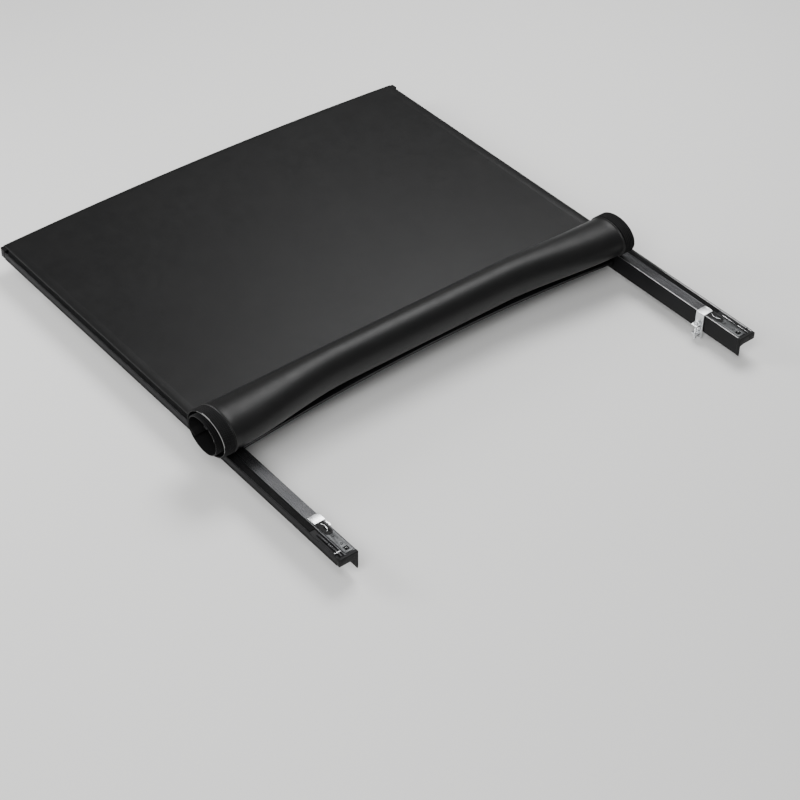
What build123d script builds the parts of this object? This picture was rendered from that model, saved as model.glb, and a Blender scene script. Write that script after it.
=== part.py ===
from build123d import *
from math import asin, degrees
import os

# Roll-up truck bed cover, part open, with its own side rails, bows, clamps and latches.
# Units mm. +Z up, +Y towards the cab, +X to the right side of the bed.
# z = 0 is the plane of the bed rail caps that the side rails sit on.

# ---------------------------------------------------------------- driving dimensions
FRONT_Y = 877.0          # front edge of the cover
REAR_Y = -877.0          # rear face of the rail end caps
COVER_HALF = 777.0       # half width of the cover
RAIL_TOP = 24.0          # top of the outer ridge and of the inner ledge
RAIL_FRONT = 850.0
RAIL_REAR = -865.0
LEG_BOTTOM = -38.0       # lower end of the inner leg, inboard of the bed rail

SHEET_UNDER = 32.0       # underside of the flat cover along its sides
SHEET_THICK = 2.0
FRONT_CROWN = 20.0       # rise of the cover's middle at the front edge
HEADER_TOP = 51.0        # header top at mid width
HEADER_ARC = 14569.0     # radius of the header's arch
SHEET_END = -254.0       # where the flat cover meets the roll

ROLL_Y = -285.0          # roll axis at mid length
ROLL_R = 61.5            # roll radius at mid length
ROLL_INNER = 31.0
ROLL_HALF = 785.0        # half length of the roll
ROLL_SHIFT = -36.0       # the cover has been rolled up a little to the left of the rails
BAND_IN = 747.0          # inner edge of the loop tape band at each end
FLARE_FROM = 300.0       # the roll widens from here to the bands
# Centre along Y, half length and half height of the oval at each end. The right end is
# wound tighter.
ROLL_ENDS = {"left": (-312.0, 88.0, 64.5), "right": (-307.0, 79.0, 57.5)}
BAND_THICK = 4.0

BOW_YS = {"front": 490.0, "middle": 90.0, "rear": -311.0}
BOW_MID_TOP = 31.4
BOW_ARC = 6365.0         # radius of the bows' arch
BOW_HALF = 716.0

CLAMP_YS = {"front": 700.0, "middle": -5.0, "rear": -711.0}
BOLT_X = 710.0
BOLT_R = 4.0
JAW_TOP = -42.5
JAW_TRAVEL = 7.5

CORE_Z = 93.5            # axis of the tailgate bar inside the roll
SIDES = {"left": -1, "right": 1}


# ---------------------------------------------------------------- small helpers
def block(x0, x1, y0, y1, z0, z1):
    size = Box(x1 - x0, y1 - y0, z1 - z0)
    return Pos((x0 + x1) / 2, (y0 + y1) / 2, (z0 + z1) / 2) * size


def rod(radius, start, end):
    """Round bar from one point to another along one axis."""
    a = Vector(*start)
    b = Vector(*end)
    plane = Plane(origin=start, z_dir=(b - a).normalized())
    return extrude(plane * Circle(radius), amount=(b - a).length)


def along_y(points, y0, y1):
    """Extrude a closed outline, given as (x, z) pairs, along Y."""
    outline = Polyline([(x, y0, z) for x, z in points], close=True)
    return extrude(make_face(outline), amount=y1 - y0, dir=(0, 1, 0))


def arched(points, half, mid_z, radius):
    """Sweep a (y, z) outline, drawn at mid width, over a shallow arch across the bed."""
    swing = degrees(asin(half / radius))
    outline = make_face(Polyline([(0, y, z) for y, z in points], close=True))
    axis = Axis((0, 0, mid_z - radius), (0, 1, 0))
    return revolve(outline.rotate(axis, -swing), axis, revolution_arc=2 * swing)


def on_side(shape, side):
    """Pieces are drawn for the right side; the left one is the mirror image."""
    return shape if SIDES[side] > 0 else mirror(shape, about=Plane.YZ)


def shifted(shape):
    """Move a piece of the roll, drawn about the middle of the bed, to where the roll lies."""
    return Pos(ROLL_SHIFT, 0, 0) * shape


def save(shape, node):
    export_step(shape, "parts/%s.step" % node)


# ---------------------------------------------------------------- side rails
def side_rail():
    top = along_y([(727, 21), (764, 21), (764, RAIL_TOP), (727, RAIL_TOP)], RAIL_REAR, RAIL_FRONT)
    leg = block(727, 730, RAIL_REAR, RAIL_FRONT, LEG_BOTTOM, 22)
    step = block(761.5, 764.5, RAIL_REAR, RAIL_FRONT, 16.5, RAIL_TOP)
    floor = block(762, 787, RAIL_REAR, RAIL_FRONT, 16.5, 20)
    outer = along_y(
        [(785, 2), (789.5, 2), (789, 23), (788, RAIL_TOP), (786, RAIL_TOP), (785, 23)],
        RAIL_REAR, RAIL_FRONT)
    web = block(752, 755, RAIL_REAR, RAIL_FRONT, 2, 22)
    foot = block(744, 764, RAIL_REAR, RAIL_FRONT, 0, 3)
    rail = top + leg + step + floor + outer + web + foot
    for x in (735, 740, 745, 750, 755):
        rail -= block(x, x + 1.6, -740, RAIL_FRONT, RAIL_TOP - 0.6, RAIL_TOP + 1)
    rail -= block(738, 754, -856, -840, 20, 30)
    rail -= block(738, 751.8, -856, -840, 4, 21)
    return rail


def hook_tape():
    return block(765, 784.5, -735, 845, 20, 22.5)


def rail_seal():
    return along_y([(776, 0), (791.5, 0), (790, 2), (776, 2)], RAIL_REAR, RAIL_FRONT)


def rail_end_cap():
    cap = along_y(
        [(726, LEG_BOTTOM - 1), (731, LEG_BOTTOM - 1), (731, -4), (744, 0), (790.5, 0),
         (790.5, 22), (788, 25), (726, 25)],
        REAR_Y, RAIL_REAR)
    return fillet(cap.edges().filter_by(Axis.Z).sort_by(Axis.Y)[0:4], 2)


def striker_bar():
    bar = block(770, 776, -864, -756, 20, 24.6)
    bar -= block(769, 777, -820, -803, 21.5, 26)
    return bar


def latch_plate():
    plate = block(731.5, 761, -863, -742, RAIL_TOP, 26.2)
    corners = plate.edges().filter_by(Axis.Z)
    plate = fillet(corners, 4)
    slot = Pos(746, -763, 25) * extrude(SlotOverall(26, 11, rotation=90), amount=4, both=True)
    plate -= slot
    plate -= block(739, 753, -855, -841, 20, 30)
    for y in (-790, -828):
        plate -= rod(2.2, (746, y, 20), (746, y, 30))
    return plate


def latch_screws():
    parts = []
    for side in SIDES.values():
        for y in (-790, -828):
            parts.append(rod(4.2, (side * 746, y, 26.2), (side * 746, y, 28.2)))
    return Compound(children=parts)


def latch_pawl():
    body = block(742, 750, -852, -842, 12, 22)
    nose = block(742, 750, -850, -845, 21, 28.4)
    pawl = body + nose
    pawl = fillet(pawl.edges().filter_by(Axis.X).sort_by(Axis.Z)[-2:], 1.5)
    return pawl + rod(1.5, (739.5, -843, 17), (751.5, -843, 17))


# ---------------------------------------------------------------- front end
def corner_casting():
    body = block(727, 790.5, RAIL_FRONT, 876, 0, 31)
    body = fillet(body.edges().filter_by(Axis.Z).sort_by(Axis.X)[2:4], 8)
    body -= block(731, 786, RAIL_FRONT - 1, 872, -1, 26)
    body -= rod(3.05, (720, 863, 12), (735, 863, 12))
    return body


def corner_screws():
    parts = []
    for side in SIDES.values():
        for x in (740, 775):
            head = rod(3.6, (side * x, 876, 12), (side * x, 877.4, 12))
            parts.append(head)
    return Compound(children=parts)


def header_rail():
    top = HEADER_TOP
    outline = [(838, top - 12), (870, top - 12), (870, top), (838, top)]
    rail = arched(outline, 726, top, HEADER_ARC)
    hollow = [(851, top - 13), (866, top - 13), (866, top - 3), (851, top - 3)]
    return rail - arched(hollow, 720, top, HEADER_ARC)


def header_keder():
    top = HEADER_TOP
    return arched([(870, top - 9), (875, top - 9), (875, top - 1), (870, top - 1)], 726, top, HEADER_ARC)


def header_seal():
    low = HEADER_TOP - 12
    outline = [(839, low - 9), (850, low - 9), (850, low), (839, low)]
    return arched(outline, 698, HEADER_TOP, HEADER_ARC)


def tension_knob():
    grip = rod(9, (706, 863, 12), (724, 863, 12))
    for k in range(8):
        cut = rod(2, (700, 863 + 9.6, 12), (720, 863 + 9.6, 12))
        grip -= cut.rotate(Axis((0, 863, 12), (1, 0, 0)), 45 * k)
    return grip + rod(3, (723, 863, 12), (734, 863, 12))


def storage_strap():
    """Closed strap loop that hangs behind the header, for holding the finished roll."""
    outer = block(438, 463, 812, 836, -44, 26)
    inner = block(430, 470, 814, 834, -42, 24)
    return outer - inner


def strap_buckles():
    parts = []
    for side in SIDES.values():
        x = side * 450.5
        body = block(x - 17, x + 17, 805, 811.7, -22, 8)
        body = fillet(body.edges().filter_by(Axis.Y), 3)
        parts.append(body)
    return Compound(children=parts)


# ---------------------------------------------------------------- cover
def sheet_face(y, crown):
    top = SHEET_UNDER + SHEET_THICK
    low = SHEET_UNDER
    half = COVER_HALF
    upper = ThreePointArc((-half, y, top), (0, y, top + crown), (half, y, top))
    right = Line((half, y, top), (half, y, low))
    lower = ThreePointArc((half, y, low), (0, y, low + crown), (-half, y, low))
    left = Line((-half, y, low), (-half, y, top))
    return make_face(upper + right + lower + left)


def cover_sheet():
    return loft([sheet_face(SHEET_END, 0.6), sheet_face(FRONT_Y, FRONT_CROWN)], ruled=True)


def side_loop_tapes():
    right = block(766, COVER_HALF, SHEET_END, 845, 22.8, SHEET_UNDER - 0.2)
    return Compound(children=[right, mirror(right, about=Plane.YZ)])


def bow(y):
    top = BOW_MID_TOP
    outline = [(y - 12, top - 9), (y + 12, top - 9), (y + 12, top - 2), (y + 9, top),
               (y - 9, top), (y - 12, top - 2)]
    return arched(outline, BOW_HALF, BOW_MID_TOP, BOW_ARC)


def bow_end_plugs():
    """Moulded hangers that carry each bow on the inner legs of the rails."""
    parts = []
    for y in BOW_YS.values():
        hanger = block(717.5, 726.8, y - 15, y + 15, -24, -3)
        hanger = fillet(hanger.edges().filter_by(Axis.X), 3)
        parts.append(hanger)
        parts.append(mirror(hanger, about=Plane.YZ))
    return Compound(children=parts)


# ---------------------------------------------------------------- clamps
def clamp_bracket(y):
    top = block(722, 760.5, y - 16, y + 16, RAIL_TOP, 27.2)
    plate = block(722, 725.6, y - 16, y + 16, -62, 27.2)
    ear = block(700, 724, y - 12, y + 12, -14, -10)
    rib = block(719, 723, y - 12, y + 12, -24, -12)
    bracket = top + plate + ear + rib
    bracket = fillet(bracket.edges().filter_by(Axis.Y).sort_by(Axis.Z)[-2:], 1.2)
    bracket -= rod(BOLT_R + 0.3, (BOLT_X, y, -20), (BOLT_X, y, 0))
    bracket -= block(721, 727, y - 9.2, y + 9.2, -58, JAW_TOP + 0.2)
    return bracket


def clamp_jaw(y):
    arm = block(702, 765, y - 9, y + 9, JAW_TOP - 4.5, JAW_TOP)
    toe = block(759, 765, y - 9, y + 9, JAW_TOP - 2, JAW_TOP + 3.5)
    boss = rod(7.5, (BOLT_X, y, JAW_TOP - 11), (BOLT_X, y, JAW_TOP - 4))
    return arm + toe + boss - rod(BOLT_R + 0.05, (BOLT_X, y, -70), (BOLT_X, y, -30))


def clamp_bolt(y):
    head_plane = Plane(origin=(BOLT_X, y, -10))
    head = extrude(head_plane * RegularPolygon(7.2, 6), amount=5.5)
    shank = rod(BOLT_R, (BOLT_X, y, -66), (BOLT_X, y, -9))
    return head + shank


# ---------------------------------------------------------------- roll
def flare(x):
    """How far the section at x has changed from the mid circle to the end oval."""
    t = min(1.0, max(0.0, (abs(x) - FLARE_FROM) / (BAND_IN - FLARE_FROM)))
    return t * t * (3 - 2 * t)


def oval(x, side, band=0.0):
    """The roll's outline at x, out to a tape's thickness if one is given."""
    f = flare(x)
    end_y, end_a, end_b = ROLL_ENDS[side]
    a = ROLL_R + 0.05 + (end_a + band - ROLL_R) * f
    b = ROLL_R + (end_b - ROLL_R) * f
    y = ROLL_Y + (end_y - ROLL_Y) * f
    z = SHEET_UNDER + b
    plane = Plane(origin=(x, y, z), x_dir=(0, 1, 0), z_dir=(1, 0, 0))
    return plane * Ellipse(a, b + max(0.0, band - 1) * f)


def roll_half(side):
    stations = [FLARE_FROM + k * (BAND_IN - FLARE_FROM) / 8 for k in range(9)]
    flared = loft([oval(x, side) for x in stations])
    tip = extrude(oval(BAND_IN, side), amount=ROLL_HALF - BAND_IN)
    middle = extrude(oval(0, side), amount=FLARE_FROM)
    return on_side(middle + flared + tip, side)


def cover_roll():
    core = rod(ROLL_INNER, (-800, ROLL_Y, CORE_Z), (800, ROLL_Y, CORE_Z))
    return roll_half("right") + roll_half("left") - core


def roll_loop_tapes():
    rings = []
    for side in SIDES:
        outer = extrude(oval(BAND_IN, side, BAND_THICK), amount=ROLL_HALF - BAND_IN)
        inner = extrude(oval(BAND_IN, side), amount=ROLL_HALF - BAND_IN)
        rings.append(shifted(on_side(outer - inner, side)))
    return Compound(children=rings)


# ---------------------------------------------------------------- tailgate bar
def tailgate_bar():
    bar = block(-752, 752, ROLL_Y - 20, ROLL_Y + 20, CORE_Z - 10, CORE_Z + 10)
    bar = fillet(bar.edges().filter_by(Axis.X), 4)
    bore = block(-753, 753, ROLL_Y - 16, ROLL_Y + 16, CORE_Z - 6.5, CORE_Z + 6.5)
    return bar - bore


def tailgate_seal():
    return block(-740, 740, ROLL_Y - 14, ROLL_Y - 4, CORE_Z + 10, CORE_Z + 18)


def bar_end_plugs():
    flange = block(752, 762, ROLL_Y - 23, ROLL_Y + 23, CORE_Z - 12.5, CORE_Z + 12.5)
    flange = fillet(flange.edges().filter_by(Axis.X), 6)
    tongue = block(720, 753, ROLL_Y - 15.8, ROLL_Y + 15.8, CORE_Z - 6.3, CORE_Z + 6.3)
    plug = flange + tongue
    plug -= block(719, 763, ROLL_Y - 9.1, ROLL_Y + 9.1, CORE_Z - 4.1, CORE_Z + 4.1)
    return Compound(children=[shifted(plug), shifted(mirror(plug, about=Plane.YZ))])


def latch_hook():
    """Sprung slam latch bolt that slides in the end of the bar."""
    body = block(716, 772, ROLL_Y - 9, ROLL_Y + 9, CORE_Z - 4, CORE_Z + 4)
    return chamfer(body.edges().filter_by(Axis.Y).sort_by(Axis.X)[-2:], 3)


def latch_spring():
    """Coil spring behind the latch bolt, as a closed sleeve."""
    return rod(5, (684, ROLL_Y, CORE_Z), (715.7, ROLL_Y, CORE_Z)) - rod(
        3.5, (680, ROLL_Y, CORE_Z), (720, ROLL_Y, CORE_Z))


# ---------------------------------------------------------------- write the pieces
def main():
    os.makedirs("parts", exist_ok=True)
    handed = {
        "side_rail": side_rail(),
        "hook_tape": hook_tape(),
        "rail_seal": rail_seal(),
        "rail_end_cap": rail_end_cap(),
        "striker_bar": striker_bar(),
        "latch_plate": latch_plate(),
        "latch_pawl": latch_pawl(),
        "corner_casting": corner_casting(),
        "tension_knob": tension_knob(),
        "storage_strap": storage_strap(),
    }
    rolled = {
        "latch_hook": latch_hook(),
        "latch_spring": latch_spring(),
    }
    for end, y in CLAMP_YS.items():
        handed["clamp_bracket_" + end] = clamp_bracket(y)
        handed["clamp_jaw_" + end] = clamp_jaw(y)
        handed["clamp_bolt_" + end] = clamp_bolt(y)
    for name, shape in handed.items():
        for side in SIDES:
            save(on_side(shape, side), name + "_" + side)
    for name, shape in rolled.items():
        for side in SIDES:
            save(shifted(on_side(shape, side)), name + "_" + side)
    single = {
        "latch_plate_screws": latch_screws(),
        "corner_screws": corner_screws(),
        "header_rail": header_rail(),
        "header_keder": header_keder(),
        "header_seal": header_seal(),
        "strap_buckles": strap_buckles(),
        "cover_sheet": cover_sheet(),
        "side_loop_tapes": side_loop_tapes(),
        "bow_end_plugs": bow_end_plugs(),
        "cover_roll": shifted(cover_roll()),
        "roll_loop_tapes": roll_loop_tapes(),
        "tailgate_bar": shifted(tailgate_bar()),
        "tailgate_seal": shifted(tailgate_seal()),
        "bar_end_plugs": bar_end_plugs(),
    }
    for end, y in BOW_YS.items():
        single["bow_" + end] = bow(y)
    for node, shape in single.items():
        save(shape, node)


main()
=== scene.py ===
import math
import bmesh
import bpy
import numpy as np
from mathutils import Matrix, Vector


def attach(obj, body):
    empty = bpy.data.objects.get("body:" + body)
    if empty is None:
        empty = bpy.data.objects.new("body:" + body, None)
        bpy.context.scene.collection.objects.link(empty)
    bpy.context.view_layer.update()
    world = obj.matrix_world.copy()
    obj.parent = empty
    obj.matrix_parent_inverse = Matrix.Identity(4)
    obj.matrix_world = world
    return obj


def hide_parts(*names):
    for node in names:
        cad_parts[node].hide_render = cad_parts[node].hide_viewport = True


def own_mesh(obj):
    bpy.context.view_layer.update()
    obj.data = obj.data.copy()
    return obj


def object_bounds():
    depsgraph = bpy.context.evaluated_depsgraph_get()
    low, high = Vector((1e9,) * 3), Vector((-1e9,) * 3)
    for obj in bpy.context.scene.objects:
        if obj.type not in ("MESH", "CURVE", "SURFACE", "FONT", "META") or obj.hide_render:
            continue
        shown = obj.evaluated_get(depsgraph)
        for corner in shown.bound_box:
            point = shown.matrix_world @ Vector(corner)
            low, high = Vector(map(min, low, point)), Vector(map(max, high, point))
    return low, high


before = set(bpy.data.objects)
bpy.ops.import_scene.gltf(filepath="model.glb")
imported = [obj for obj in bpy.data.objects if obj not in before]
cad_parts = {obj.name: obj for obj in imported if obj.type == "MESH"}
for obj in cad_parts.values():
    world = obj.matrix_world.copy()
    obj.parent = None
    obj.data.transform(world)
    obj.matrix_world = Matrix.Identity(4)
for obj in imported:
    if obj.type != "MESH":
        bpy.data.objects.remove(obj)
cad_low, cad_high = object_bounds()


# ---------------------------------------------------------------- floor, light and camera
# The cover lies on a plain pale floor. A soft box beyond it gives the roll a broad highlight
# along its top, a large one in front lights the floor evenly, and a small low one at the left
# picks out the edges of the rails.

def placed(name, data):
    """Put a mesh, a curve, a lamp or a camera into the scene."""
    obj = bpy.data.objects.new(name, data)
    bpy.context.scene.collection.objects.link(obj)
    return obj


def feed(tree, socket, value):
    """Give a socket a plain value, or wire another socket into it."""
    if isinstance(value, bpy.types.NodeSocket):
        tree.links.new(value, socket)
    else:
        socket.default_value = value


def start_material(name):
    material = bpy.data.materials.new(name)
    material.use_nodes = True
    return material, material.node_tree


def finish(material, **values):
    """Feed the inputs of a material's surface shader, named with _ for a space."""
    shade = material.node_tree.nodes["Principled BSDF"]
    for label, value in values.items():
        feed(material.node_tree, shade.inputs[label.replace("_", " ")], value)
    return material


def soft_box(name, place, target, size, power):
    lamp = bpy.data.lights.new(name, "AREA")
    lamp.shape = "RECTANGLE"
    lamp.size, lamp.size_y = size
    lamp.energy = power
    box = placed(name, lamp)
    box.location = place
    box.rotation_euler = (Vector(target) - Vector(place)).to_track_quat("-Z", "Y").to_euler()


world = bpy.data.worlds.new("studio_air")
bpy.context.scene.world = world
world.use_nodes = True
air = world.node_tree.nodes["Background"]
air.inputs["Color"].default_value = (1.0, 1.0, 1.0, 1.0)
air.inputs["Strength"].default_value = 0.22
soft_box("box_over", (1.85, 0.95, 3.6), (0.1, -0.1, 0), (2.5, 2.0), 165)
soft_box("box_front", (-3.3, -2.7, 4.4), (0, 0, 0), (3.2, 3.2), 260)
soft_box("box_left", (-2.5, 2.2, 1.75), (0.6, -0.6, 0), (1.5, 1.3), 75)

FLOOR_HALF = 14
floor_z = cad_low[2] - 0.0005
floor_mesh = bpy.data.meshes.new("floor")
floor_mesh.from_pydata([(x * FLOOR_HALF, y * FLOOR_HALF, floor_z)
                        for x, y in ((-1, -1), (1, -1), (1, 1), (-1, 1))], [], [(0, 1, 2, 3)])
floor = placed("floor", floor_mesh)
floor_paint = start_material("floor_paint")[0]
finish(floor_paint, Base_Color=(0.82, 0.82, 0.81, 1), Roughness=0.85)
floor_mesh.materials.append(floor_paint)

lens = bpy.data.cameras.new("camera")
lens.sensor_width = 36.0
lens.lens = 91.13
camera = placed("camera", lens)
camera.location = (-3.0765, -3.8870, 3.8298)
camera.rotation_euler = (0.86171, -0.01434, -0.67736)
bpy.context.scene.camera = camera


# ---------------------------------------------------------------- side rails
# Two extruded aluminium rails, powder coated black with a bare grey ledge, lie along the bed
# rail caps. Each has an outer ridge, a channel for hook tape, a ribbed ledge and an inner leg.

def smooth_piece(obj, angle):
    obj.data.shade_smooth()
    obj.data.set_sharp_from_angle(angle=math.radians(angle))
    return obj


def cleaned(mesh, merge=0.0):
    """Point the faces outward, after merging corners that lie closer than a distance."""
    tidy = bmesh.new()
    tidy.from_mesh(mesh)
    if merge:
        bmesh.ops.remove_doubles(tidy, verts=tidy.verts, dist=merge)
    bmesh.ops.recalc_face_normals(tidy, faces=tidy.faces)
    tidy.to_mesh(mesh)
    tidy.free()
    return mesh


def new_piece(name, verts, faces, smooth):
    """A mesh object from corners and faces, in metres, smooth across bends below an angle."""
    mesh = bpy.data.meshes.new(name)
    mesh.from_pydata([tuple(v) for v in verts], [], faces)
    mesh.validate()
    return smooth_piece(placed(name, cleaned(mesh)), smooth)


def lofted(name, rings, smooth):
    """A solid through closed rings that have the same count of points, capped at both ends."""
    n = len(rings[0])
    verts = [point for ring in rings for point in ring]
    faces = [(q * n + k, q * n + (k + 1) % n, (q + 1) * n + (k + 1) % n, (q + 1) * n + k)
             for q in range(len(rings) - 1) for k in range(n)]
    faces += [tuple(range(n)), tuple(range(len(verts) - n, len(verts)))]
    return new_piece(name, verts, faces, smooth)


def prism(name, outline, low, high, along="Y", smooth=30):
    """Extrude a closed outline along one axis. For Y the outline is (x, z), for X it is
    (y, z), and for Z it is (x, y)."""
    slot = "XYZ".index(along)
    rings = [[point[:slot] + (t,) + point[slot:] for point in outline] for t in (low, high)]
    return lofted(name, rings, smooth)


def final_mesh(obj):
    """The object's mesh with its modifiers or curve settings worked out."""
    bpy.context.view_layer.update()
    graph = bpy.context.evaluated_depsgraph_get()
    return bpy.data.meshes.new_from_object(obj.evaluated_get(graph), depsgraph=graph)


def discard(obj):
    old = obj.data
    bpy.data.objects.remove(obj)
    bpy.data.meshes.remove(old)


def apply_all(obj, smooth=30):
    """Turn the modifiers on an object into plain mesh."""
    done = final_mesh(obj)
    old = obj.data
    obj.modifiers.clear()
    obj.data = done
    done.name = obj.name
    bpy.data.meshes.remove(old)
    return smooth_piece(obj, smooth)


def softened(obj, width, segments=2):
    """Round the edges that bend more than 35 degrees, as machining or moulding leaves them."""
    rounding = obj.modifiers.new("rounding", "BEVEL")
    rounding.width = width
    rounding.segments = segments
    rounding.limit_method = "ANGLE"
    rounding.angle_limit = math.radians(35)
    rounding.harden_normals = False
    return apply_all(obj)


def combined(obj, other, operation="DIFFERENCE", smooth=30):
    """Cut the other solid's volume out of a piece, or join it on with UNION."""
    step = obj.modifiers.new("combined", "BOOLEAN")
    step.operation = operation
    step.solver = "EXACT"
    step.object = other
    apply_all(obj, smooth)
    discard(other)
    return obj


def fused(name, parts, smooth=30):
    """Join several meshes into one object without changing their surfaces."""
    gather = bmesh.new()
    for part in parts:
        gather.from_mesh(part.data)
    mesh = bpy.data.meshes.new(name)
    gather.to_mesh(mesh)
    gather.free()
    for part in parts:
        discard(part)
    return smooth_piece(placed(name, mesh), smooth)


def mirrored(obj):
    """The same piece for the left side of the bed."""
    name = obj.name.replace("right", "left")
    mesh = obj.data.copy()
    mesh.name = name
    mesh.transform(Matrix.Scale(-1, 4, (1, 0, 0)))
    mesh.flip_normals()
    return smooth_piece(placed(name, mesh), 30)


def dress(obj, material, body, slot, *nodes):
    """Give a piece its finish and its body, and hide the model's nodes that it stands for."""
    obj.data.materials.clear()
    obj.data.materials.append(material)
    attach(obj, body)
    if nodes:
        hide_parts(*nodes)
    return obj


def dress_pair(right, material, slot, node=None, body="frame"):
    """Mirror a right-hand piece and dress both. The side is added to the name of the node, and
    of the body unless that is the frame."""
    pair = (right, mirrored(right))
    for made, side in zip(pair, ("_right", "_left")):
        dress(made, material, body if body == "frame" else body + side, slot,
              *([node + side] if node else []))
    return pair


def mm(points):
    return [tuple(c / 1000 for c in p) for p in points]


def add_node(tree, kind, **inputs):
    """A shader node with its inputs fed, named with _ for a space."""
    node = tree.nodes.new("ShaderNode" + kind)
    for label, value in inputs.items():
        feed(tree, node.inputs[label.replace("_", " ")], value)
    return node


def math_node(tree, operation, a, b):
    node = tree.nodes.new("ShaderNodeMath")
    node.operation = operation
    for socket, value in zip(node.inputs, (a, b)):
        feed(tree, socket, value)
    return node.outputs[0]


def product(tree, first, *others):
    for other in others:
        first = math_node(tree, "MULTIPLY", first, other)
    return first


def ranged(tree, value, low, high, to_low=0.0, to_high=1.0):
    return add_node(tree, "MapRange", Value=value, From_Min=low, From_Max=high,
                    To_Min=to_low, To_Max=to_high).outputs[0]


def stretched_place(tree, scale=(1, 1, 1)):
    """Object space positions, stretched by a different amount along each axis."""
    where = add_node(tree, "TexCoord").outputs["Object"]
    return add_node(tree, "Mapping", Vector=where, Scale=scale).outputs[0]


def noise(tree, place, scale, detail=3.0, rough=0.5):
    return add_node(tree, "TexNoise", Vector=place, Scale=scale, Detail=detail,
                    Roughness=rough).outputs["Fac"]


def mix_colours(tree, factor, a, b):
    """Blend two colours; each is a value or a socket."""
    node = tree.nodes.new("ShaderNodeMix")
    node.data_type = "RGBA"
    feed(tree, node.inputs["Factor"], factor)
    for key, value in (("A", a), ("B", b)):
        socket = [s for s in node.inputs if s.name == key and s.type == "RGBA"][0]
        feed(tree, socket, value + (1.0,) if isinstance(value, tuple) else value)
    return [s for s in node.outputs if s.type == "RGBA"][0]


def bump(tree, height, strength, distance):
    return add_node(tree, "Bump", Strength=strength, Distance=distance,
                    Height=height).outputs["Normal"]


def new_group(name, inputs, outputs):
    """An empty shader group whose sockets are all single numbers."""
    group = bpy.data.node_groups.new(name, "ShaderNodeTree")
    number = "NodeSocketFloat"
    for label, value in inputs.items():
        socket = group.interface.new_socket(name=label, in_out="INPUT", socket_type=number)
        socket.default_value = value
    for label in outputs:
        group.interface.new_socket(name=label, in_out="OUTPUT", socket_type=number)
    return (group, group.nodes.new("NodeGroupInput").outputs,
            group.nodes.new("NodeGroupOutput").inputs)


def use_group(tree, group, **values):
    node = tree.nodes.new("ShaderNodeGroup")
    node.node_tree = group
    for label, value in values.items():
        node.inputs[label].default_value = value
    return node.outputs


# Dust that settles on faces that look up, thicker in soft patches.
dust_group, dust_in, dust_out = new_group("settled_dust", {"Amount": 0.1}, ["Mask"])
dust_face = add_node(dust_group, "NewGeometry").outputs["Normal"]
dust_up = add_node(dust_group, "SeparateXYZ", Vector=dust_face).outputs["Z"]
dust_place = stretched_place(dust_group)
dust_cloud = ranged(dust_group, noise(dust_group, dust_place, 9.0, 4.0, 0.6), 0.35, 0.75)
dust_speck = ranged(dust_group, noise(dust_group, dust_place, 700.0, 2.0), 0.5, 0.75, 0.4, 1.0)
dust_up = ranged(dust_group, dust_up, 0.2, 1.0)
feed(dust_group, dust_out["Mask"],
     product(dust_group, dust_cloud, dust_speck, dust_up, dust_in["Amount"]))

# Wear where edges have been rubbed: bright along sharp bends, broken up by noise.
wear_group, wear_in, wear_out = new_group("rubbed_edges", {"Radius": 0.0008, "Amount": 0.5},
                                          ["Mask"])
wear_round = add_node(wear_group, "Bevel", Radius=wear_in["Radius"])
wear_round.samples = 4
wear_dot = add_node(wear_group, "VectorMath")
wear_dot.operation = "DOT_PRODUCT"
feed(wear_group, wear_dot.inputs[0], wear_round.outputs[0])
feed(wear_group, wear_dot.inputs[1], add_node(wear_group, "NewGeometry").outputs["Normal"])
wear_bend = ranged(wear_group, wear_dot.outputs["Value"], 0.98, 0.80)
wear_patch = noise(wear_group, stretched_place(wear_group), 120.0, 4.0, 0.7)
wear_patch = ranged(wear_group, wear_patch, 0.42, 0.62)
feed(wear_group, wear_out["Mask"], product(wear_group, wear_bend, wear_patch, wear_in["Amount"]))

# Orange peel of a sprayed or powder coated skin: a soft fine height.
peel_group, peel_in, peel_out = new_group("coat_texture", {"Scale": 900.0}, ["Height", "Tone"])
peel_place = stretched_place(peel_group)
feed(peel_group, peel_out["Height"], noise(peel_group, peel_place, peel_in["Scale"]))
feed(peel_group, peel_out["Tone"], noise(peel_group, peel_place, 14.0, 4.0, 0.55))


def dusted(tree, colour, amount, dust):
    mask = use_group(tree, dust_group, Amount=amount)["Mask"]
    return mix_colours(tree, mask, colour, dust)


def rubbed(tree, colour, radius, amount, bare):
    mask = use_group(tree, wear_group, Radius=radius, Amount=amount)["Mask"]
    return mix_colours(tree, mask, colour, bare)


def coated_metal(name, dark, light, bare, rough, metal=0.0, wear=0.6, dust=0.12):
    """Powder coated or anodised metal: patchy tone, fine peel, bare metal at rubbed edges."""
    material, tree = start_material(name)
    peel = use_group(tree, peel_group, Scale=1100.0)
    colour = mix_colours(tree, ranged(tree, peel["Tone"], 0.3, 0.7), dark, light)
    colour = rubbed(tree, colour, 0.0007, wear, bare)
    return finish(material, Base_Color=dusted(tree, colour, dust, (0.10, 0.10, 0.095)),
                  Roughness=ranged(tree, peel["Tone"], 0.3, 0.7, *rough),
                  Normal=bump(tree, peel["Height"], 0.12, 0.0004),
                  Specular_IOR_Level=0.16, Metallic=metal)


def drawn_metal(name, along, patch, span, dark, light, rough, metal, groove, dust=0.0):
    """Bare extruded aluminium: drawing lines along its length, grey in patches."""
    material, tree = start_material(name)
    lines = noise(tree, stretched_place(tree, (900, along, 900)), 1.0, 3.0, 0.6)
    cloud = noise(tree, stretched_place(tree), *patch)
    colour = mix_colours(tree, ranged(tree, cloud, *span), dark, light)
    return finish(material, Base_Color=dusted(tree, colour, dust, (0.14, 0.14, 0.13)),
                  Roughness=ranged(tree, lines, 0.3, 0.7, *rough),
                  Normal=bump(tree, lines, 0.15, groove), Metallic=metal)


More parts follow.
